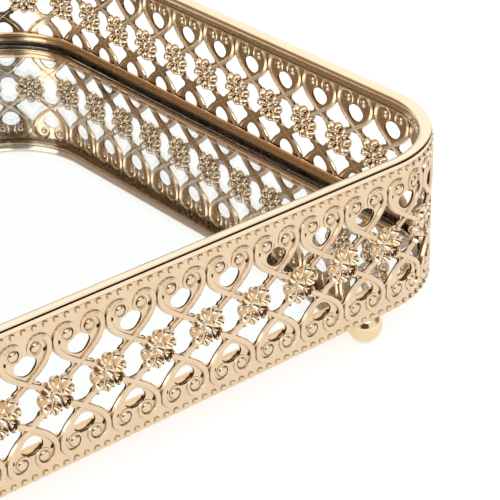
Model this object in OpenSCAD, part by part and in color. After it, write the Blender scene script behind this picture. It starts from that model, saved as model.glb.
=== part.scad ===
// Rectangular vanity tray with a stamped filigree wall, a mirror floor and four ball feet.
// Millimetres, +Z up. X runs along the length and Y along the width. The origin is on the
// table, under the middle of the tray.

/* [Overall] */
// Length over the outside of the walls
length = 301; // [220:1:400]
// Width over the outside of the walls
width = 200; // [150:1:300]
// Outside corner radius of the walls
corner_r = 28; // [22:1:40]

/* [Filigree band] */
// Height of the stamped strip
band_h = 39.2; // [32:0.1:52]
// Thickness of its sheet
band_t = 0.8; // [0.6:0.1:1.2]
// Width of one repeat of the pattern, before it is rounded to close the loop
repeat_w = 14.1; // [11:0.1:18]

/* [Top rim] */
// Width of the ring, seen from above
rim_w = 3.5; // [2.4:0.1:4.2]
// Height of the ring
rim_h = 1.8; // [1:0.1:2.4]
// Bevel along its two top edges
rim_bevel = 0.4; // [0.2:0.1:0.4]
// Thickness of the inner edge, which is turned down inside the wall
rim_fold = 0.9; // [0.6:0.1:1.2]
// How far that edge hangs below the top of the wall
rim_drop = 1.9; // [0.6:0.1:2.4]

/* [Base pan] */
// Thickness of the pressed sheet
pan_t = 0.7; // [0.5:0.1:0.8]
// Height of the upturned edge above the underside of the pan
pan_h = 8.5; // [7:0.1:12]
// Width of the rolled top of that edge
pan_roll_w = 1.1; // [1:0.1:1.4]
// Height of the rolled top
pan_roll_h = 1.4; // [1:0.1:2]
// Clearance between the filigree band and the pan
pan_gap = 0.1; // [0.1:0.05:0.3]
// How far the underside of the pan stands above the lower edge of the band
pan_rise = 0.2; // [0.1:0.1:1]

/* [Mirror] */
// Thickness of the glass
glass_t = 3; // [2:0.5:4]
// Width of the ground bevel round its top edge
bevel_w = 1.6; // [1.6:0.1:4]
// Depth of that bevel
bevel_h = 0.5; // [0.3:0.1:1]
// Clearance between the glass and the upturned edge of the pan
glass_gap = 0.3; // [0.2:0.1:0.8]

/* [Adhesive tape] */
// Thickness of the foam tape under the glass
tape_t = 1.2; // [1.1:0.1:3]
// Width of each strip of tape
tape_w = 18; // [8:1:25]
// Distance from each strip's ends to the edge of the glass
tape_end = 18; // [8:1:40]

/* [Ball feet] */
// Diameter of each ball
ball_d = 9.1; // [7:0.1:12]
// Diameter of the flat seat on top of the ball
seat_d = 4.6; // [3.2:0.1:5]
// Distance of each foot from the end of the tray
foot_in_x = 33.9; // [30:0.1:60]
// Distance of each foot from the long side of the tray
foot_in_y = 4.55; // [4.55:0.05:12]

/* [Foot screws] */
// Diameter of the screw's shank
screw_d = 2; // [1.6:0.1:2.4]
// Length of the shank under the head
screw_l = 5; // [4:0.5:6]
// Diameter of the head
head_d = 3.6; // [3.2:0.1:3.8]
// Height of the head
head_h = 0.9; // [0.7:0.1:1]
// Clearance of the shank in the pan and in the ball, on the diameter
hole_gap = 0.2; // [0.1:0.05:0.4]

/* [Hidden] */
$fn = 64;

GOLD = "#E0C6A4";
COPPER_GOLD = "#D9B58C";
SILVER = "#E8ECEE";
FOAM = "#F2F2EE";
STEEL = "#B8B8B4";

// Heights, from the table up. The seat of each foot meets the underside of the pan.
seat_z = (ball_d + sqrt(ball_d * ball_d - seat_d * seat_d)) / 2;
pan_z = seat_z;
band_z = pan_z - pan_rise;
band_top = band_z + band_h;
floor_z = pan_z + pan_t;
glass_z = floor_z + tape_t;
screw_tip_z = floor_z - screw_l;

// Insets from the outside of the walls
pan_inset = band_t + pan_gap;
glass_inset = pan_inset + pan_roll_w + glass_gap;

// Straight stretches and the closed length of the wall
side_x = length - 2 * corner_r;
side_y = width - 2 * corner_r;
arc_l = PI * corner_r / 2;
loop_l = 2 * (side_x + side_y) + 4 * arc_l;

// An even number of repeats puts a heart at the middle of every side
repeats = 4 * round(loop_l / (4 * repeat_w));
pitch = loop_l / repeats;

// Corner centres, in the order in which the wall's outward direction turns
CORNERS = [
    [side_x / 2, side_y / 2], [-side_x / 2, side_y / 2],
    [-side_x / 2, -side_y / 2], [side_x / 2, -side_y / 2]
];
SIDES = [side_y, side_x, side_y, side_x];

// Sweeps a section round the tray. In the section, x = 0 is the outside of the
// wall, x runs outwards and y runs up.
module around() {
    for (q = [0:3]) translate(CORNERS[q]) {
        rotate(90 * q) rotate_extrude(angle = 90) translate([corner_r, 0]) children();
        rotate([90, 0, 90 * q]) linear_extrude(SIDES[q]) translate([corner_r, 0]) children();
    }
}

// Puts its children on the outside of the wall, at distance s along the loop from
// the middle of the right side. There x runs along the wall and z runs outwards.
module on_wall(s) {
    if (s < side_y / 2) wall_frame([side_x / 2 + corner_r, s], 0) children();
    else if (s < side_y / 2 + arc_l) {
        turn = (s - side_y / 2) / corner_r * 180 / PI;
        wall_frame(CORNERS[0] + corner_r * [cos(turn), sin(turn)], turn) children();
    }
    else wall_frame([side_x / 2 + side_y / 2 + arc_l - s, width / 2], 90) children();
}

module wall_frame(at, turn) {
    translate([at[0], at[1], band_z + band_h / 2]) rotate([90, 0, turn + 90]) children();
}

// The open places of the pattern, from the middle of the strip upwards
module waist_hole() {
    polygon([
        [0, 0.31], [0.19, 0.17], [0.12, 0], [0.19, -0.17],
        [0, -0.31], [-0.19, -0.17], [-0.12, 0], [-0.19, 0.17]
    ] * pitch);
}

module heart_hole() {
    polygon([
        [0, 0.55], [0.12, 0.61], [0.215, 0.75], [0.17, 0.86],
        [0, 0.89], [-0.17, 0.86], [-0.215, 0.75], [-0.12, 0.61]
    ] * pitch);
}

module kite_hole() {
    polygon([
        [-0.2, 0.37], [0.2, 0.37], [0.33, 0.44],
        [0.04, 0.77], [-0.04, 0.77], [-0.33, 0.44]
    ] * pitch);
}

// One punch goes right through the sheet
module punch() {
    translate([0, 0, -2 * band_t]) linear_extrude(3 * band_t) children();
}

module band_holes() {
    for (flip_x = [0, 1], flip_y = [0, 1])
        mirror([flip_x, 0, 0]) mirror([0, flip_y, 0]) {
            for (k = [1:repeats / 4 - 1]) on_wall(k * pitch) heart_column();
            for (k = [0:repeats / 4 - 1]) on_wall((k + 0.5) * pitch) flower_column();
        }
    for (flip_x = [0, 1]) mirror([flip_x, 0, 0]) on_wall(0) heart_column();
    for (flip_y = [0, 1]) mirror([0, flip_y, 0]) on_wall(loop_l / 4) heart_column();
}

module heart_column() {
    punch() waist_hole();
    for (turn = [0, 180]) rotate(turn) punch() heart_hole();
}

module flower_column() {
    for (turn = [0, 180]) rotate(turn) punch() kite_hole();
}

module filigree_band() {
    color(GOLD) difference() {
        translate([0, 0, band_z]) around() translate([-band_t, 0]) square([band_t, band_h]);
        band_holes();
    }
}

// The ring lies on the wall, and its inner edge is turned down
module top_rim() {
    color(GOLD) translate([0, 0, band_top]) around() polygon([
        [0, 0], [0, rim_h - rim_bevel], [-rim_bevel, rim_h],
        [rim_bevel - rim_w, rim_h], [-rim_w, rim_h - rim_bevel], [-rim_w, -rim_drop],
        [rim_fold - rim_w, -rim_drop], [rim_fold - rim_w, 0]
    ]);
}

// Flat floor of the pan, inside the filigree band
module floor_plate() {
    l = length - 2 * pan_inset;
    w = width - 2 * pan_inset;
    translate([-side_x / 2, -w / 2, 0]) cube([side_x, w, pan_t]);
    translate([-l / 2, -side_y / 2, 0]) cube([l, side_y, pan_t]);
    for (c = CORNERS) translate(c) cylinder(r = corner_r - pan_inset, h = pan_t);
}

// The upturned edge stands on the floor plate, flush with its outside
module base_pan() {
    color(COPPER_GOLD) difference() {
        translate([0, 0, pan_z]) {
            floor_plate();
            translate([0, 0, pan_t]) around() polygon([
                [-pan_inset, 0], [-pan_inset, pan_h - pan_t],
                [-pan_inset - pan_roll_w, pan_h - pan_t],
                [-pan_inset - pan_roll_w, pan_h - pan_t - pan_roll_h],
                [-pan_inset - pan_t, pan_h - pan_t - pan_roll_h],
                [-pan_inset - pan_t, 0]
            ]);
        }
        for (x = [-1, 1], y = [-1, 1]) at_foot(x, y)
            translate([0, 0, pan_z - pan_t]) cylinder(d = screw_d + hole_gap, h = 3 * pan_t);
    }
}

module mirror_glass() {
    r = corner_r - glass_inset;
    l = length - 2 * glass_inset;
    w = width - 2 * glass_inset;
    color(SILVER) translate([0, 0, glass_z]) {
        rotate([90, 0, 90]) translate([0, 0, -side_x / 2]) linear_extrude(side_x) bevelled(w);
        rotate([90, 0, 0]) translate([0, 0, -side_y / 2]) linear_extrude(side_y) bevelled(l);
        for (c = CORNERS) translate(c) rotate_extrude()
            intersection() {
                bevelled(2 * r);
                square([r, glass_t]);
            }
    }
}

// Section of the glass, w wide, with its ground top edges
module bevelled(w) {
    polygon([
        [-w / 2, 0], [w / 2, 0], [w / 2, glass_t - bevel_h],
        [w / 2 - bevel_w, glass_t], [bevel_w - w / 2, glass_t], [-w / 2, glass_t - bevel_h]
    ]);
}

// A strip of foam tape along the tray: row is -1 at the front, 0 in the middle, 1 at the back
module tape(row) {
    strip_l = length - 2 * (glass_inset + tape_end);
    reach = side_y / 2 - tape_w / 2;
    color(FOAM) translate([-strip_l / 2, row * reach - tape_w / 2, floor_z])
        cube([strip_l, tape_w, tape_t]);
}

module at_foot(x, y) {
    translate([x * (length / 2 - foot_in_x), y * (width / 2 - foot_in_y), 0]) children();
}

// The ball has a flat seat turned on its top, and a blind hole for its screw
module ball_foot(x, y) {
    color(GOLD) at_foot(x, y) difference() {
        translate([0, 0, ball_d / 2]) sphere(d = ball_d);
        translate([0, 0, seat_z]) cylinder(d = ball_d, h = ball_d);
        translate([0, 0, screw_tip_z - hole_gap])
            cylinder(d = screw_d + hole_gap, h = screw_l + ball_d);
    }
}

module foot_screw(x, y) {
    color(STEEL) at_foot(x, y) {
        translate([0, 0, screw_tip_z]) cylinder(d = screw_d, h = screw_l);
        translate([0, 0, floor_z]) cylinder(d = head_d, h = head_h);
    }
}

base_pan();
filigree_band();
top_rim();
mirror_glass();
tape(-1);  // tape_front
tape(0);  // tape_middle
tape(1);  // tape_back
ball_foot(-1, -1);  // ball_foot_front_left
ball_foot(1, -1);  // ball_foot_front_right
ball_foot(-1, 1);  // ball_foot_back_left
ball_foot(1, 1);  // ball_foot_back_right
foot_screw(-1, -1);  // foot_screw_front_left
foot_screw(1, -1);  // foot_screw_front_right
foot_screw(-1, 1);  // foot_screw_back_left
foot_screw(1, 1);  // foot_screw_back_right
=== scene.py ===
# %% [markdown]
# # A vanity tray with a stamped filigree wall
# A metal strip is stamped into hearts, scrolls and flowers, plated in champagne gold, bent round
# a rounded rectangle and closed with a flat rim. A shallow pan carries a mirror, and four balls
# carry the pan. The frame of the tray is loaded first, and every piece takes its place from it.
# %% Load the frame and the tools
import math

import bmesh
import bpy
import numpy as np
from mathutils import Matrix, Vector


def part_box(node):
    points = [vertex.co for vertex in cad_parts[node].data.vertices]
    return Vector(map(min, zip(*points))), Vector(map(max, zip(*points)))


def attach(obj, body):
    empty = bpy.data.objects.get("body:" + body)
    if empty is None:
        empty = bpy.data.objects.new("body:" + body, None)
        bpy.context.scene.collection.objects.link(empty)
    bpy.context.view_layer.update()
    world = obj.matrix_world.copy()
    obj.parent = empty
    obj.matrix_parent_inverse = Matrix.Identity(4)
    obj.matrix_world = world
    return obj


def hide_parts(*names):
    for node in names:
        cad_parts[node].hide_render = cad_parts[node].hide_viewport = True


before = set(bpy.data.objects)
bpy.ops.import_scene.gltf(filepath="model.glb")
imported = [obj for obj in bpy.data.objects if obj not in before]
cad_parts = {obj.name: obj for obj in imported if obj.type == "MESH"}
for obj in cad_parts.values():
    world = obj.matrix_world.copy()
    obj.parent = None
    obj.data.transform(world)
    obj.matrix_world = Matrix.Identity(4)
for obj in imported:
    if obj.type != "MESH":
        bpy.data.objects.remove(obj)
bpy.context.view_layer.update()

# %% [markdown]
# ## Sizes
# The boxes of the frame's own pieces give the length, width and heights. Only the corner radius
# and the number of repeats in the wall aren't in a box, so they are stated here.
# %% Read the sizes
MM = 0.001
CORNER_R = 28 * MM
REPEATS = 68
band_low, band_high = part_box("filigree_band")
rim_low, rim_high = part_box("top_rim")
pan_low, pan_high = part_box("base_pan")
glass_low, glass_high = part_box("mirror_glass")
LENGTH = band_high.x - band_low.x
WIDTH = band_high.y - band_low.y
SIDE_X = LENGTH - 2 * CORNER_R
SIDE_Y = WIDTH - 2 * CORNER_R
ARC = math.pi * CORNER_R / 2
LOOP = 2 * (SIDE_X + SIDE_Y) + 4 * ARC
PITCH = LOOP / REPEATS
BAND_Z = band_low.z
BAND_H = band_high.z - band_low.z
# The wall's mid height, in pitches
MID_V = BAND_H / PITCH / 2
print("pitch mm", round(PITCH / MM, 3), "band height in pitches", round(2 * MID_V, 3))

# %% [markdown]
# ## Camera
# The tray is seen from above its front left, close up, so that one corner fills the view. A long
# lens keeps the walls nearly parallel. The camera's axes are worked out from two angles and a
# small roll, all in degrees.
# %% Place the camera


def new_object(name, data):
    """An object of some data, in the scene."""
    made = bpy.data.objects.new(name, data)
    bpy.context.scene.collection.objects.link(made)
    return made


LENS_MM, SENSOR_MM = 144.29, 36
NEAREST = 10 * MM
CAM_PLACE = Vector((-0.1775, -0.4038, 0.2664))
CAM_TURN, CAM_TILT, CAM_ROLL = map(math.radians, (39.86, -29.45, -1.08))
forward = Vector((math.sin(CAM_TURN) * math.cos(CAM_TILT),
                  math.cos(CAM_TURN) * math.cos(CAM_TILT), math.sin(CAM_TILT)))
right = Vector((math.cos(CAM_TURN), -math.sin(CAM_TURN), 0))
up = right.cross(forward)
level_x = math.cos(CAM_ROLL) * right + math.sin(CAM_ROLL) * up
level_y = -math.sin(CAM_ROLL) * right + math.cos(CAM_ROLL) * up
camera = new_object("camera", bpy.data.cameras.new("camera"))
axes = Matrix((level_x, level_y, -forward)).transposed().to_4x4()
camera.matrix_world = Matrix.Translation(CAM_PLACE) @ axes
camera.data.lens = LENS_MM
camera.data.sensor_width = SENSOR_MM
camera.data.clip_start = NEAREST
bpy.context.scene.camera = camera
bpy.context.scene.view_settings.view_transform = "Standard"
print("camera looks along", [round(c, 3) for c in forward])

# %% [markdown]
# ## Colours and nodes
# Finishes are written as sRGB hex values and turned to linear light by one function. A second
# small function adds a node, sets its values and makes its links, so a material reads as a list.
# %% Helpers for materials


def linear(hex_text):
    """An sRGB hex colour as linear RGBA."""
    channels = [int(hex_text[i:i + 2], 16) / 255 for i in (1, 3, 5)]
    lit = [c / 12.92 if c <= 0.04045 else ((c + 0.055) / 1.055) ** 2.4 for c in channels]
    return (*lit, 1.0)


def add_node(tree, kind, links=None, values=None, **settings):
    """Adds a node. links joins other nodes' sockets to its inputs, and values sets its inputs."""
    made = tree.nodes.new(kind)
    for key, value in settings.items():
        setattr(made, key, value)
    for key, value in (values or {}).items():
        made.inputs[key].default_value = value
    for key, socket in (links or {}).items():
        tree.links.new(socket, made.inputs[key])
    return made


def new_material(name):
    """An empty node material with its output, the shader and the object's own coordinates."""
    material = bpy.data.materials.new(name)
    material.use_nodes = True
    tree = material.node_tree
    tree.nodes.clear()
    shader = add_node(tree, "ShaderNodeBsdfPrincipled")
    add_node(tree, "ShaderNodeOutputMaterial", links={"Surface": shader.outputs[0]})
    place = add_node(tree, "ShaderNodeTexCoord").outputs["Object"]
    return material, tree, shader, place


def ramp(tree, source, stops):
    """A colour ramp from positions and hex colours."""
    made = add_node(tree, "ShaderNodeValToRGB", links={"Fac": source})
    while len(made.color_ramp.elements) < len(stops):
        made.color_ramp.elements.new(0.5)
    for element, (position, colour) in zip(made.color_ramp.elements, stops):
        element.position = position
        element.color = linear(colour)
    return made.outputs["Color"]


def between(tree, source, low, high, from_low=0.0, from_high=1.0):
    """Maps a number from one range to another."""
    return add_node(tree, "ShaderNodeMapRange", links={"Value": source}, values={
        "From Min": from_low, "From Max": from_high, "To Min": low, "To Max": high}).outputs[0]


def noise(tree, place, size_mm, detail=3.0):
    """Soft noise whose lumps are about size_mm across."""
    return add_node(tree, "ShaderNodeTexNoise", links={"Vector": place},
                    values={"Scale": 1 / (size_mm * MM), "Detail": detail}).outputs["Fac"]


def bump(tree, height, depth_mm):
    """A bump of about depth_mm from a height between 0 and 1."""
    return add_node(tree, "ShaderNodeBump", links={"Height": height},
                    values={"Distance": depth_mm * MM, "Strength": 1.0}).outputs["Normal"]


def mix(tree, share, first, second):
    """Mixes two colours, each a socket or a hex value, by a socket between 0 and 1."""
    # The mix node names its colour sockets A and B like its number sockets, so they go by place
    made = add_node(tree, "ShaderNodeMix", data_type="RGBA")
    for key, value in ((0, share), (6, first), (7, second)):
        if isinstance(value, str):
            made.inputs[key].default_value = linear(value)
        else:
            tree.links.new(value, made.inputs[key])
    return made.outputs[2]


# %% [markdown]
# ## Finishes
# The strip is stamped steel with thin champagne gold plating over a satin nickel layer: metallic
# and fairly smooth. Shade is painted into its colour: dark brown where ambient occlusion over about
# a millimetre finds a place shut in. The rim is the same plating on polished steel, the balls on
# brass.
# %% Metals
CLOUD_MM = 9
# The openness, by ambient occlusion, at which a place shows only the painted crevice shade, and at
# which it shows only the clean plating
SHUT_IN_SHARE, OPEN_SHARE = 0.2, 0.78


def plated(name, light, dark, crevice_painted_shade, roughness, reach_mm, grain_mm=0.5, grain_depth=0.004):
    """Gold plated steel: cloudy plating, a fine grain, and painted dark brown shade where it is shut
    in.
    """
    material, tree, shader, place = new_material(name)
    cloud = noise(tree, place, CLOUD_MM)
    grain = noise(tree, place, grain_mm, 2)
    plate = mix(tree, cloud, light, dark)
    # Painted shade: where ambient occlusion finds a place shut in, a dark brown replaces the plating
    openness = add_node(tree, "ShaderNodeAmbientOcclusion", samples=8,
                        values={"Distance": reach_mm * MM}).outputs["AO"]
    open_share = between(tree, openness, 0, 1, SHUT_IN_SHARE, OPEN_SHARE)
    colour = mix(tree, open_share, crevice_painted_shade, plate)
    rough = between(tree, cloud, roughness * 0.8, roughness * 1.25, 0.3, 0.7)
    tree.links.new(colour, shader.inputs["Base Color"])
    tree.links.new(rough, shader.inputs["Roughness"])
    tree.links.new(bump(tree, grain, grain_depth), shader.inputs["Normal"])
    shader.inputs["Metallic"].default_value = 1
    return material


# Stamped steel, satin nickel and thin champagne gold: broad soft highlights
satin_gold = plated("champagne_gold_plated_stamped_steel", "#E7D1B5", "#DBC29F", "#55300F",
                    roughness=0.18, reach_mm=1.3)
# The same plating on the drawn petals, painted paler, with painted crevice shade that reaches less
# far into the cups
petal_gold = plated("champagne_gold_plated_drawn_petals", "#EFDBC0", "#E3CBA9", "#55300F",
                    roughness=0.15, reach_mm=0.8)
# The same plating on polished flat steel: sharper and a little paler
bright_gold = plated("champagne_gold_plated_polished_steel", "#F3E0C4", "#EBD3B2", "#9A6E42",
                     roughness=0.12, reach_mm=0.8, grain_mm=0.3, grain_depth=0.0015)
# Polished brass balls under the same plating: nearly a mirror
ball_gold = plated("champagne_gold_plated_brass_ball", "#EFD8B4", "#E6CBA2", "#8A5C34",
                   roughness=0.07, reach_mm=0.8, grain_mm=0.6, grain_depth=0.0008)
# The pressed pan, plated without the nickel: warmer
pan_gold = plated("gold_plated_pressed_pan", "#EFD2AA", "#E2BC8E", "#94582E",
                  roughness=0.2, reach_mm=0.9, grain_mm=0.8, grain_depth=0.003)
# The punched edge of the strip: dull, and painted dark brown as the shade that lies on the sheet's
# cut faces
painted_shade_cut_edge = plated("punched_edge_painted_shade", "#5C3A1E", "#472A14", "#2A180A",
                  roughness=0.35, reach_mm=1.0)
# Painted shade for the rim's seam and neck and the scrolls' pits: dark brown
painted_seam_and_pit_shade = plated("seam_and_pit_painted_shade", "#523618", "#402A12", "#26180A",
                   roughness=0.5, reach_mm=0.5)


def zinc_steel():
    """Zinc plated steel, barrel plated: blotchy grey with fine spangle."""
    material, tree, shader, place = new_material("zinc_plated_steel_screw")
    blotch = noise(tree, place, 1.2)
    greys = ramp(tree, blotch, [(0.3, "#A9ABAB"), (0.7, "#D3D3CE")])
    tree.links.new(greys, shader.inputs["Base Color"])
    tree.links.new(between(tree, blotch, 0.25, 0.45), shader.inputs["Roughness"])
    tree.links.new(bump(tree, noise(tree, place, 0.15), 0.01), shader.inputs["Normal"])
    shader.inputs["Metallic"].default_value = 1
    return material


screw_steel = zinc_steel()

# %% [markdown]
# The mirror is a slab of float glass with a silver coat on its underside. The slab refracts and
# the coat reflects, so the wall's image stands a little below the top of the glass, as it should.
# %% Glass, silver and foam
GLASS_INDEX = 1.52


def clear_glass(name, tint, roughness):
    """Float glass, a dielectric."""
    material, tree, shader, place = new_material(name)
    smear = noise(tree, place, 30)
    tree.links.new(mix(tree, smear, "#FFFFFF", tint), shader.inputs["Base Color"])
    tree.links.new(between(tree, smear, roughness, roughness * 1.5), shader.inputs["Roughness"])
    shader.inputs["Transmission Weight"].default_value = 1
    shader.inputs["IOR"].default_value = GLASS_INDEX
    return material


def silver_coat():
    """Deposited silver, seen through the glass."""
    material, tree, shader, place = new_material("silver_coat_of_mirror")
    cloud = noise(tree, place, 40)
    tree.links.new(mix(tree, cloud, "#E8E9E7", "#E5E7E4"), shader.inputs["Base Color"])
    tree.links.new(between(tree, cloud, 0.008, 0.02), shader.inputs["Roughness"])
    shader.inputs["Metallic"].default_value = 1
    return material


def foam():
    """White polyethylene foam tape: fine closed cells."""
    material, tree, shader, place = new_material("polyethylene_foam_tape")
    cells = add_node(tree, "ShaderNodeTexVoronoi", links={"Vector": place},
                     values={"Scale": 1 / (0.5 * MM)}).outputs["Distance"]
    whites = ramp(tree, cells, [(0.0, "#D9D8D2"), (0.6, "#F4F3EF")])
    tree.links.new(whites, shader.inputs["Base Color"])
    tree.links.new(bump(tree, cells, 0.1), shader.inputs["Normal"])
    shader.inputs["Roughness"].default_value = 0.85
    return material


float_glass = clear_glass("float_glass", "#FBFEFD", 0.004)
ground_glass = clear_glass("ground_glass_edge", "#EFF6F3", 0.08)
silver = silver_coat()
foam_tape = foam()

# %% [markdown]
# ## The wall as a flat strip
# One repeat of the wall is modelled flat, with x along the wall, y up from its lower edge and z
# outwards. It is repeated 68 times in a straight strip, and the strip is then bent round the tray
# by moving each vertex to its place on the loop. Hearts fall on the middle of each side.
# %% Bend a strip round the tray
# A piece has its own finish first and its finish with painted shade second
CLEAN, SHADE_PAINTED = 0, 1
# How near two vertices lie before they are made one, in metres
NEAR, NEARER = 1e-6, 1e-7


def wall_place(along, out):
    """Positions on the loop: along is measured from the middle of the right side."""
    lengths = np.array([SIDE_Y / 2, ARC, SIDE_X, ARC, SIDE_Y, ARC, SIDE_X, ARC, SIDE_Y / 2 + 1])
    starts = np.concatenate(([0], np.cumsum(lengths)[:-1]))
    along = np.where(along < 0, along + LOOP, along)
    part = np.clip(np.searchsorted(starts, along, side="right") - 1, 0, 8)
    into = along - starts[part]
    centre_x = np.array([1, 1, 1, -1, -1, -1, -1, 1, 1])[part] * SIDE_X / 2
    centre_y = np.array([0, 1, 1, 1, 1, -1, -1, -1, -1])[part] * SIDE_Y / 2
    curved = part % 2 == 1
    turn = (part // 2) * np.pi / 2 + np.where(curved, into / CORNER_R, 0)
    straight = np.where(curved, 0, into)
    reach = CORNER_R + out
    return (centre_x + reach * np.cos(turn) - straight * np.sin(turn),
            centre_y + reach * np.sin(turn) + straight * np.cos(turn))


def finish_piece(name, mesh, materials, sharp=38):
    """Makes a smooth shaded object of a mesh, on the tray's one body."""
    mesh.shade_smooth()
    mesh.set_sharp_from_angle(angle=math.radians(sharp))
    for material in materials:
        mesh.materials.append(material)
    piece = new_object(name, mesh)
    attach(piece, "root")
    mesh.calc_loop_triangles()
    print(name, len(mesh.loop_triangles), "triangles")
    return piece


def baked_mesh(holder):
    """The mesh of an object with its modifiers worked in. The object goes."""
    view = bpy.context.evaluated_depsgraph_get()
    mesh = bpy.data.meshes.new_from_object(holder.evaluated_get(view))
    bpy.data.objects.remove(holder)
    return mesh


def strip_round(name, repeat, materials, weld=False):
    """Repeats one flat pattern round the wall."""
    flat = bpy.data.meshes.new(name)
    repeat.to_mesh(flat)
    repeat.free()
    holder = new_object(name + "_flat", flat)
    row = holder.modifiers.new("row", "ARRAY")
    row.count = REPEATS
    row.use_relative_offset = False
    row.use_constant_offset = True
    row.constant_offset_displace = (PITCH, 0, 0)
    row.use_merge_vertices = weld
    row.merge_threshold = NEAR
    mesh = baked_mesh(holder)
    mesh.name = name
    points = np.empty(len(mesh.vertices) * 3)
    mesh.vertices.foreach_get("co", points)
    points = points.reshape(-1, 3)
    x, y = wall_place(points[:, 0], points[:, 2])
    points = np.stack((x, y, points[:, 1] + BAND_Z), axis=1)
    mesh.vertices.foreach_set("co", points.ravel())
    shape = bmesh.new()
    shape.from_mesh(mesh)
    if weld:
        # The strip's two ends meet on the loop
        bmesh.ops.remove_doubles(shape, verts=shape.verts, dist=2 * NEAR)
    bmesh.ops.recalc_face_normals(shape, faces=shape.faces)
    shape.to_mesh(mesh)
    shape.free()
    piece = finish_piece(name, mesh, materials)
    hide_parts("filigree_band")


# %% [markdown]
# ### The pierced sheet
# The sheet is drawn as a filled flat curve, as a die maker draws a blank: one outline for the
# upper half of a repeat, and another for the hole in the heart. Half a repeat is kept, cut into
# strips that can bend, and mirrored. Its points are in pitches, the third number marks a sharp
# corner, and the same half serves below.
# %% Outline of the sheet
SHEET_BACK, SHEET_FRONT = -0.8 * MM, -0.2 * MM
SHEET_EDGE = 0.04 * MM
BLANK = [
    (-0.12, 2.783, 1), (0.62, 2.783, 1), (0.62, 2.05, 1), (0.56, 2.125, 0), (0.5, 2.175, 0),
    (0.44, 2.125, 0), (0.365, 2.035, 0), (0.28, 1.95, 0), (0.19, 1.875, 0), (0.158, 1.82, 0),
    (0.175, 1.772, 0), (0.245, 1.74, 1), (0.3, 1.668, 1), (0.21, 1.575, 1), (0.18, 1.59, 0),
    (0.145, 1.648, 0), (0.08, 1.692, 0), (0, 1.703, 0), (-0.08, 1.692, 0), (-0.12, 1.668, 1),
]
HEART_HOLE = [
    (0, 2.3), (0.08, 2.285), (0.16, 2.238), (0.208, 2.175), (0.212, 2.115), (0.18, 2.05),
    (0.105, 1.98), (0.035, 1.948),
]
# The strip bends at these shares of a repeat, apart from its ends
BENDS = (0.125, 0.25, 0.375)
# A face whose normal leans less than this towards the front is part of a cut edge
FRONTAL = 0.3


def both_sides(points):
    """A hole's outline from its right half."""
    left = [(-x, y) for x, y in reversed(points) if x > 0]
    return [(x, y, 0) for x, y in points + left]


def everything(shape):
    """All the parts of a shape."""
    return shape.verts[:] + shape.edges[:] + shape.faces[:]


def curve_shape(curve, near):
    """A curve as a shape, with vertices nearer than that made one."""
    shape = bmesh.new()
    shape.from_mesh(baked_mesh(new_object("curve", curve)))
    bmesh.ops.remove_doubles(shape, verts=shape.verts, dist=near)
    return shape


def add_spline(curve, points, closed):
    """A smooth spline through points (x, y, mark, radius); a mark of 1 is a sharp corner."""
    spline = curve.splines.new("BEZIER")
    spline.bezier_points.add(len(points) - 1)
    for knot, (x, y, mark, *radius) in zip(spline.bezier_points, points):
        knot.co = (x * PITCH, y * PITCH, 0)
        knot.handle_left_type = knot.handle_right_type = "VECTOR" if mark else "AUTO"
        knot.radius = radius[0] if radius else 1
    spline.use_cyclic_u = closed


def sheet_half():
    """Half of a repeat's upper sheet, open where it meets its mirror images."""
    curve = bpy.data.curves.new("blank", "CURVE")
    curve.dimensions = "2D"
    curve.fill_mode = "BOTH"
    curve.resolution_u = 3
    curve.bevel_depth = SHEET_EDGE
    curve.bevel_resolution = 0
    curve.offset = -SHEET_EDGE
    curve.extrude = (SHEET_FRONT - SHEET_BACK) / 2 - SHEET_EDGE
    add_spline(curve, BLANK, True)
    add_spline(curve, both_sides(HEART_HOLE), True)
    shape = curve_shape(curve, NEAR)
    bmesh.ops.translate(shape, verts=shape.verts, vec=(0, 0, (SHEET_FRONT + SHEET_BACK) / 2))
    # Each end is trimmed on its outer side, and each bend only cut
    for share, way, trim in [(0, -1, True), (0.5, 1, True)] + [(bend, 1, False) for bend in BENDS]:
        bmesh.ops.bisect_plane(shape, geom=everything(shape), dist=NEARER, clear_outer=trim,
                               plane_co=(share * PITCH, 0, 0), plane_no=(way, 0, 0))
    return shape


def add_left_half(shape):
    """Adds the mirror image of all that a shape holds, to its left."""
    made = bmesh.ops.duplicate(shape, geom=everything(shape))["geom"]
    points = [part for part in made if isinstance(part, bmesh.types.BMVert)]
    faces = [part for part in made if isinstance(part, bmesh.types.BMFace)]
    bmesh.ops.scale(shape, verts=points, vec=(-1, 1, 1))
    bmesh.ops.reverse_faces(shape, faces=faces)


def turn_over(shape):
    """Turns the upper half of a repeat into its mirror image, the lower half."""
    bmesh.ops.scale(shape, verts=shape.verts, vec=(1, -1, 1))
    bmesh.ops.translate(shape, verts=shape.verts, vec=(0, 2 * MID_V * PITCH, 0))
    bmesh.ops.reverse_faces(shape, faces=shape.faces)


# %% Make both sheets
for level in ("upper", "lower"):
    sheet = sheet_half()
    add_left_half(sheet)
    bmesh.ops.remove_doubles(sheet, verts=sheet.verts, dist=NEAR)
    if level == "lower":
        turn_over(sheet)
    # The cut faces, nearly square to the front, take the finish with painted shade
    for face in sheet.faces:
        face.material_index = SHADE_PAINTED if abs(face.normal.z) < FRONTAL else CLEAN
    strip_round("filigree_sheet_" + level, sheet, [satin_gold, painted_shade_cut_edge], weld=True)
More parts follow.
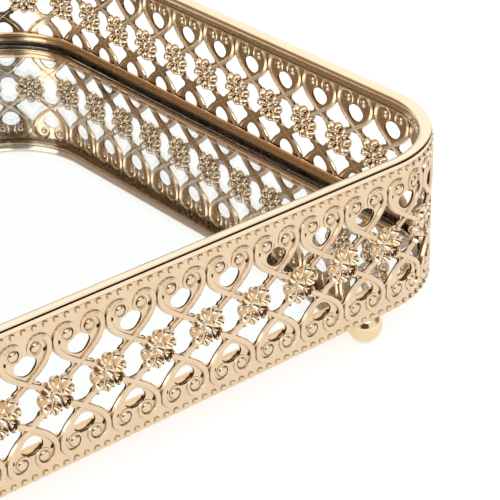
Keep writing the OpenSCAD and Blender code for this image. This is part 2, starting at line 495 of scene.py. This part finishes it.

# %% [markdown]
# ### Scrolls
# Each scroll is a raised rib that starts on a petal, crosses its mirror image at the foot of the
# heart and curls round a boss, with two small pits beside it whose domes are painted dark as shade.
# The rib is a curve with a radius at every point, made a mesh and then stretched or pressed in
# depth, so that it narrows to its tip as a stamped rib does.
# %% Raised scrolls
# Points of the rib: along, up and radius, in pitches
SCROLL = [
    (-0.245, 1.64, 0.05), (-0.12, 1.718, 0.054), (0, 1.8, 0.056), (0.12, 1.888, 0.056),
    (0.24, 1.978, 0.057), (0.35, 2.09, 0.06), (0.42, 2.21, 0.062), (0.445, 2.34, 0.062),
    (0.415, 2.455, 0.062), (0.34, 2.535, 0.06), (0.24, 2.56, 0.056), (0.145, 2.53, 0.05),
    (0.085, 2.455, 0.041), (0.072, 2.37, 0.037), (0.105, 2.295, 0.033), (0.175, 2.262, 0.03),
    (0.25, 2.278, 0.027), (0.3, 2.33, 0.024), (0.3, 2.39, 0.02),
]
# The rib's middle in mm and its stretch in depth, and the boss's back in mm. The lower ones stay
# clear of the pan behind them.
DEPTHS = {"upper": (-0.38, 1.05, -1.3), "lower": (-0.2, 0.85, -0.8)}
# Place and radius of the boss in pitches, and its height in mm
BOSS = (0.205, 2.385, 0.1, 0.5)
# Place and radius of the pits in pitches, and the height of their floors in mm; their domes are
# painted dark as shade
PITS = [(0.118, 2.4, 0.028, 0.12), (0.362, 2.29, 0.026, 0.05)]
PIT_BACK, PIT_STRETCH = -0.4, 1.4


def scroll(middle, stretch):
    """One scroll of the upper right of a repeat, its middle at a depth and stretched in depth."""
    curve = bpy.data.curves.new("scroll", "CURVE")
    curve.dimensions = "3D"
    curve.resolution_u = 2
    curve.bevel_depth = PITCH
    curve.bevel_resolution = 2
    curve.use_fill_caps = True
    add_spline(curve, [(x, y, 0, radius) for x, y, radius in SCROLL], False)
    shape = curve_shape(curve, NEARER)
    bmesh.ops.scale(shape, verts=shape.verts, vec=(1, 1, stretch))
    bmesh.ops.translate(shape, verts=shape.verts, vec=(0, 0, middle * MM))
    return shape


def add_dome(shape, x, y, radius, low, high, around=8, up=4, tall=1.0):
    """A bump through the sheet, from low to high in mm, at x and y and of a radius in pitches."""
    radius *= PITCH
    place = Matrix.Translation((x * PITCH, y * PITCH, (low + high) / 2 * MM))
    stretch = Matrix.Diagonal((1, tall, (high - low) / 2 * MM / radius, 1))
    return bmesh.ops.create_uvsphere(shape, u_segments=around, v_segments=up, radius=radius,
                                     matrix=place @ stretch)["verts"]


for level in ("upper", "lower"):
    middle, stretch, boss_back = DEPTHS[level]
    ribs = scroll(middle, stretch)
    x, y, radius, high = BOSS
    add_dome(ribs, x, y, radius, boss_back, high, around=14, up=8)
    for x, y, radius, high in PITS:
        pit = add_dome(ribs, x, y, radius, PIT_BACK, high, tall=PIT_STRETCH)
        # The pit's dome takes the finish with painted shade
        for face in {face for vert in pit for face in vert.link_faces}:
            face.material_index = SHADE_PAINTED
    add_left_half(ribs)
    if level == "lower":
        turn_over(ribs)
    strip_round("filigree_scrolls_" + level, ribs, [satin_gold, painted_seam_and_pit_shade])

# %% [markdown]
# ### Flowers
# Between the hearts, eight petals stand round a small middle. Each is a cup pressed inwards, with
# a thin raised rim, so it is hollow outside and a round knob inside. A cup is one closed section
# spun full circle, stretched along its petal and set in its place.
# %% Flowers
# The cup's section: radius and height in shares of its size, from the middle of its hollow over
# the rim to the middle of its back
CUP = [
    (0, -0.88), (0.24, -0.82), (0.55, -0.52), (0.84, -0.08), (0.94, 0.13), (0.99, 0.18), (1.05, 0.13),
    (1.04, -0.02), (0.88, -0.32), (0.74, -0.6), (0.55, -0.86), (0.28, -1.04), (0, -1.1),
]
CUP_SIDES = 14
# Reach, length and width of the petals on the axes and between them, in pitches
PETALS = [(0.232, 0.118, 0.092), (0.262, 0.142, 0.1)]
# Depths and the petals' set-back in mm, how much wider a petal gets outwards, and the middle's
# radius in pitches
PETAL_DEPTH, PETAL_BACK, PETAL_SPREAD = 1.6, -0.05, 0.4
MIDDLE_DEPTH, MIDDLE_R = 1.3, 0.11


def add_cup(shape, length, width, depth, spread, place):
    """A cup with a rim, its length and width in pitches and its depth in mm."""
    points = [shape.verts.new((r, 0, z)) for r, z in CUP]
    edges = [shape.edges.new(pair) for pair in zip(points, points[1:])]
    before = set(shape.verts) - set(points)
    bmesh.ops.spin(shape, geom=points + edges, cent=(0, 0, 0), axis=(0, 0, 1), dvec=(0, 0, 0),
                   angle=2 * math.pi, steps=CUP_SIDES, use_merge=True)
    made = [v for v in shape.verts if v not in before]
    # The cup is still of size 1 here
    bmesh.ops.remove_doubles(shape, verts=made, dist=1e-4)
    made = [v for v in shape.verts if v not in before]
    for v in made:
        v.co.y *= 1 + spread * v.co.x
    size = Matrix.Diagonal((length * PITCH, width * PITCH, depth * MM, 1))
    bmesh.ops.transform(shape, matrix=place @ size, verts=made)


def flower():
    """Eight petals and a middle, round the point half a pitch along, at mid height."""
    shape = bmesh.new()
    centre = Matrix.Translation((0.5 * PITCH, MID_V * PITCH, 0))
    for petal in range(8):
        turned = centre @ Matrix.Rotation(petal * math.pi / 4, 4, "Z")
        reach, length, width = PETALS[petal % 2]
        place = turned @ Matrix.Translation((reach * PITCH, 0, PETAL_BACK * MM))
        add_cup(shape, length, width, PETAL_DEPTH, PETAL_SPREAD, place)
    add_cup(shape, MIDDLE_R, MIDDLE_R, MIDDLE_DEPTH, 0, centre)
    return shape


strip_round("filigree_flowers", flower(), [petal_gold])

# %% [markdown]
# ### Beads
# A row of small beads runs along both edges, five to a repeat. There are hundreds of them, so
# each has only a few faces.
# %% Beads
BEADS_A_REPEAT = 5
# The first bead's place, a bead's radius and its distance from the wall's edge, in pitches
BEAD_START, BEAD_R, BEAD_INSET = 0.01, 0.06, 0.075
# Heights in mm of a bead's top, of a lower bead's back and of an upper bead's back
BEAD_TOP, LOWER_BACK, UPPER_BACK = 0.5, -0.8, -1.1
beads = bmesh.new()
for count in range(BEADS_A_REPEAT):
    along = BEAD_START + count / BEADS_A_REPEAT
    add_dome(beads, along, BEAD_INSET, BEAD_R, LOWER_BACK, BEAD_TOP)
    add_dome(beads, along, 2 * MID_V - BEAD_INSET, BEAD_R, UPPER_BACK, BEAD_TOP)
strip_round("filigree_beads", beads, [satin_gold])

# %% [markdown]
# ## Sections swept round the tray
# Rim, pan and glass all have the same section all the way round. The section is drawn once at the
# start of the right side, extruded along each side and spun a quarter turn at each corner.
# %% Sweep helper
CORNER_STEPS = 16


def sweep(section, closed):
    """Sweeps (out, height) points round the tray, out measured from the outside of the wall.

    An open section leaves the rims of a floor and a ceiling, and they are filled."""
    shape = bmesh.new()
    x = SIDE_X / 2 + CORNER_R
    row = [shape.verts.new((x + out, -SIDE_Y / 2, z)) for out, z in section]
    pairs = list(zip(row, row[1:])) + ([(row[-1], row[0])] if closed else [])
    geom = row + [shape.edges.new(pair) for pair in pairs]
    sides = [(0, SIDE_Y), (-SIDE_X, 0), (0, -SIDE_Y), (SIDE_X, 0)]
    corners = [(1, 1), (-1, 1), (-1, -1), (1, -1)]
    for (dx, dy), (cx, cy) in zip(sides, corners):
        edges = [part for part in geom if isinstance(part, bmesh.types.BMEdge)]
        made = bmesh.ops.extrude_edge_only(shape, edges=edges)["geom"]
        points = [part for part in made if isinstance(part, bmesh.types.BMVert)]
        bmesh.ops.translate(shape, verts=points, vec=(dx, dy, 0))
        geom = points + [part for part in made if isinstance(part, bmesh.types.BMEdge)]
        geom = bmesh.ops.spin(shape, geom=geom, cent=(cx * SIDE_X / 2, cy * SIDE_Y / 2, 0),
                              axis=(0, 0, 1), dvec=(0, 0, 0), angle=math.pi / 2,
                              steps=CORNER_STEPS)["geom_last"]
    bmesh.ops.remove_doubles(shape, verts=shape.verts, dist=NEAR)
    if not closed:
        bmesh.ops.holes_fill(shape, edges=[e for e in shape.edges if e.is_boundary], sides=0)
    bmesh.ops.recalc_face_normals(shape, faces=shape.faces)
    return shape


def rounded(points, radius, parts=3):
    """Rounds the corners of a section. Points are (out, height, share of the radius), in mm."""
    done = []
    count = len(points)
    for i, (x, y, share) in enumerate(points):
        here = Vector((x, y))
        if not share:
            done.append((x * MM, y * MM))
            continue
        back = Vector(points[i - 1][:2]) - here
        ahead = Vector(points[(i + 1) % count][:2]) - here
        # Two rounded corners never meet on the straight between them
        cut = min(radius * share, back.length * 0.45, ahead.length * 0.45)
        first, last = here + back.normalized() * cut, here + ahead.normalized() * cut
        for step in range(parts + 1):
            t = step / parts
            spot = first * (1 - t) ** 2 + here * 2 * t * (1 - t) + last * t * t
            done.append((spot.x * MM, spot.y * MM))
    return done


def paint_shade_ring(piece, low, high, inner, outer):
    """Paints shade: makes the faces dark between two heights and two distances in from the wall's
    outside.
    """
    for face in piece.data.polygons:
        middle = face.center
        across, along = abs(middle.x) - SIDE_X / 2, abs(middle.y) - SIDE_Y / 2
        inset = (CORNER_R - math.hypot(max(across, 0), max(along, 0))) / MM
        if low < middle.z / MM < high and outer < inset < inner:
            face.material_index = SHADE_PAINTED


def swept_piece(name, shape, materials, node, sharp=30):
    """A finished piece from a swept or spun shape, sharp where faces meet at that many degrees."""
    mesh = bpy.data.meshes.new(name)
    shape.to_mesh(mesh)
    shape.free()
    piece = finish_piece(name, mesh, materials, sharp)
    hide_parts(node)
    return piece


# %% [markdown]
# ### The rim
# A ring closes the top of the wall. Its outer edge is folded over the strip, which leaves a seam, and
# its inner edge is turned down inside the wall and ends in a small bead. Shade is painted dark brown
# into the seam and into the bead's neck.
# %% Rim
top, under, drop = rim_high.z / MM, band_high.z / MM, rim_low.z / MM
# Heights in mm of the seam outside and of the small bead's neck inside
SEAM_LOW, SEAM_HIGH, NECK = top - 0.66, top - 0.24, drop + 0.55
RIM = rounded([
    (0, under, 0.5), (0, SEAM_LOW, 0.3), (-0.35, SEAM_LOW, 0), (-0.35, SEAM_HIGH, 0),
    (-0.05, SEAM_HIGH, 0.3), (-0.25, top, 2.5), (-1.9, top, 3), (-3.2, top - 0.55, 4),
    (-3.5, top - 1.6, 4), (-3.5, NECK + 0.25, 0.5), (-3.2, NECK + 0.12, 0.3), (-3.2, NECK, 0.3),
    (-3.5, NECK - 0.1, 0.6), (-3.5, drop, 1), (-2.6, drop, 1), (-2.6, under, 0.5),
], 0.2, 4)
rim = swept_piece("top_rim_ring", sweep(RIM, True), [bright_gold, painted_seam_and_pit_shade], "top_rim",
                  sharp=50)
# Painted shade: the seam outside and the bead's neck inside take the dark finish
paint_shade_ring(rim, SEAM_LOW - 0.05, SEAM_HIGH + 0.05, 0.4, 0.02)
paint_shade_ring(rim, NECK - 0.06, NECK + 0.18, 3.48, 3.1)

# %% [markdown]
# ### The pan
# A shallow pressed pan with an upturned edge that ends in a lip, rolled inwards and down. A groove
# is pressed into its floor, which stiffens the sheet and can be felt underneath. The section runs
# along the underside, over the lip and back along the upper side of the sheet.
# %% Pan
pan_z, pan_floor, lip = pan_low.z / MM, pan_low.z / MM + 0.7, pan_high.z / MM
GROOVE = 0.5
PAN = rounded([
    (-20, pan_z, 0), (-15, pan_z, 1), (-14, pan_z + GROOVE, 1), (-11, pan_z + GROOVE, 1),
    (-10, pan_z, 1), (-0.9, pan_z, 3), (-0.9, lip, 2), (-1.75, lip, 3), (-2.1, lip - 1.0, 4),
    (-2.0, lip - 2.5, 2), (-1.6, lip - 2.7, 1), (-1.6, pan_floor, 2), (-9.7, pan_floor, 1),
    (-10.7, pan_floor + GROOVE, 1), (-14.3, pan_floor + GROOVE, 1), (-15.3, pan_floor, 1),
    (-20, pan_floor, 0),
], 0.3)
swept_piece("base_pan_pressed", sweep(PAN, False), [pan_gold], "base_pan")

# %% [markdown]
# ### The mirror
# The glass slab has a ground bevel round its top edge. The slab and its silver coat are two
# pieces: the coat's upper face lies just inside the glass, so no air is left between them.
# %% Mirror
# The glass's edge, measured from the outside of the wall
edge = (glass_high.x - band_high.x) / MM
glass_top, glass_under = glass_high.z / MM, glass_low.z / MM
GLASS = rounded([
    (-20, glass_under, 0), (edge - 0.1, glass_under, 1), (edge, glass_under + 0.1, 1),
    (edge, glass_top - 0.5, 1), (edge - 1.6, glass_top, 0.6), (-20, glass_top, 0),
], 0.12)
glass = swept_piece("mirror_glass_slab", sweep(GLASS, False), [float_glass, ground_glass],
                    "mirror_glass", sharp=12)
# Every face that isn't level is part of the ground edge, the second finish
LEVEL = 0.999
for face in glass.data.polygons:
    face.material_index = 0 if abs(face.normal.z) > LEVEL else 1
# Out and height in mm of the coat's outline
coat_low, coat_high, coat_edge = glass_under - 0.04, glass_under + 0.03, edge - 0.15
COAT = [(-20, coat_low), (coat_edge, coat_low), (coat_edge, coat_high), (-20, coat_high)]
COAT = [(out * MM, height * MM) for out, height in COAT]
swept_piece("mirror_silver_coat", sweep(COAT, False), [silver], "mirror_glass")

# %% [markdown]
# ## Feet, screws and tape
# Each foot is a turned ball with a flat seat on top. Half of its outline is drawn and spun full
# circle. Screws and tape already have their true shape in the frame, so they keep it and only take
# a finish.
# %% Ball feet
OUTLINE_STEPS, TURN_STEPS = 26, 48


def ball_foot(name, node):
    """A turned ball with a flat seat on top, in the frame's place for it."""
    foot_low, foot_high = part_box(node)
    centre = (foot_low + foot_high) / 2
    radius = (foot_high.x - foot_low.x) / 2
    middle = foot_low.z + radius
    seat_angle = math.acos((foot_high.z - middle) / radius)
    outline = [(0, middle - radius)]
    for step in range(1, OUTLINE_STEPS + 1):
        angle = math.pi - (math.pi - seat_angle) * step / OUTLINE_STEPS
        outline.append((radius * math.sin(angle), middle + radius * math.cos(angle)))
    outline.append((0, foot_high.z))
    shape = bmesh.new()
    points = [shape.verts.new((r, 0, z)) for r, z in outline]
    edges = [shape.edges.new(pair) for pair in zip(points, points[1:])]
    bmesh.ops.spin(shape, geom=points + edges, cent=(0, 0, 0), axis=(0, 0, 1), dvec=(0, 0, 0),
                   angle=2 * math.pi, steps=TURN_STEPS, use_merge=True)
    bmesh.ops.remove_doubles(shape, verts=shape.verts, dist=NEARER)
    bmesh.ops.recalc_face_normals(shape, faces=shape.faces)
    bmesh.ops.translate(shape, verts=shape.verts, vec=(centre.x, centre.y, 0))
    swept_piece(name, shape, [ball_gold], node, sharp=40)


for side in ("front_left", "front_right", "back_left", "back_right"):
    ball_foot("turned_ball_" + side, "ball_foot_" + side)

# %% Screws and tape
for name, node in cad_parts.items():
    if name.startswith(("foot_screw", "tape")):
        node.data.materials.clear()
        node.data.materials.append(foam_tape if name.startswith("tape") else screw_steel)
        print(name, "takes", node.data.materials[0].name)

# %% [markdown]
# ## Stage and light
# A pale floor that glows a little, a white world, and three soft windows: behind, in front and on
# the left. Parts of the world are darker, as cloths would be, and draw the dark edges in the metal.
# %% Floor
FLOOR_HALF = 6
floor_mesh = bpy.data.meshes.new("floor")
floor_shape = bmesh.new()
bmesh.ops.create_grid(floor_shape, x_segments=1, y_segments=1, size=FLOOR_HALF)
floor_shape.to_mesh(floor_mesh)
floor_shape.free()
floor = new_object("floor", floor_mesh)


def studio_floor():
    """Matt white board, lit from below."""
    material, tree, shader, place = new_material("matt_white_board")
    greys = mix(tree, noise(tree, place, 60), "#A2A2A2", "#9E9E9E")
    tree.links.new(greys, shader.inputs["Base Color"])
    shader.inputs["Roughness"].default_value = 0.9
    shader.inputs["Specular IOR Level"].default_value = 0.1
    shader.inputs["Emission Color"].default_value = (1, 1, 1, 1)
    shader.inputs["Emission Strength"].default_value = 0.78
    return material


floor_mesh.materials.append(studio_floor())

# %% Lights and world


def softbox(name, place, width, height, power):
    """A rectangular soft light that faces the tray, its power in watts."""
    lamp = bpy.data.lights.new(name, "AREA")
    lamp.shape = "RECTANGLE"
    lamp.size, lamp.size_y = width, height
    lamp.energy = power
    lamp_object = new_object(name, lamp)
    lamp_object.location = place
    lamp_object.rotation_euler = (-Vector(place)).to_track_quat("-Z", "Y").to_euler()
    print(name, power, "W")


softbox("back_window", (1.0, 1.2, 1.1), 1.8, 1.3, 1.9)
softbox("front_window", (-0.3, -1.3, 1.3), 1.2, 0.7, 5)
softbox("left_window", (-1.4, 0.1, 1.0), 1.2, 0.8, 5)

world = bpy.data.worlds.new("studio")
world.use_nodes = True
bpy.context.scene.world = world
sky = world.node_tree
sky.nodes.clear()
toward = add_node(sky, "ShaderNodeTexCoord").outputs["Generated"]
tone = "#FFFFFF"
# Dark parts of the world: the way to each one's middle, the cosines of the angles from there at
# which it begins and is full, and its colour
CLOTHS = [
    ((-0.62, 0.70, 0.36), 0.8, 0.93, "#A08468"),
    ((-0.62, -0.72, 0.22), 0.86, 0.93, "#5C5048"),
    ((0.9, -0.3, 0.3), 0.8, 0.95, "#9A9288"),
]
for way, outer, inner, shade in CLOTHS:
    facing = add_node(sky, "ShaderNodeVectorMath", operation="DOT_PRODUCT", links={0: toward},
                      values={1: Vector(way).normalized()}).outputs["Value"]
    tone = mix(sky, between(sky, facing, 0, 1, outer, inner), tone, shade)
glow = add_node(sky, "ShaderNodeBackground", links={"Color": tone}, values={"Strength": 1.0})
add_node(sky, "ShaderNodeOutputWorld", links={"Surface": glow.outputs[0]})
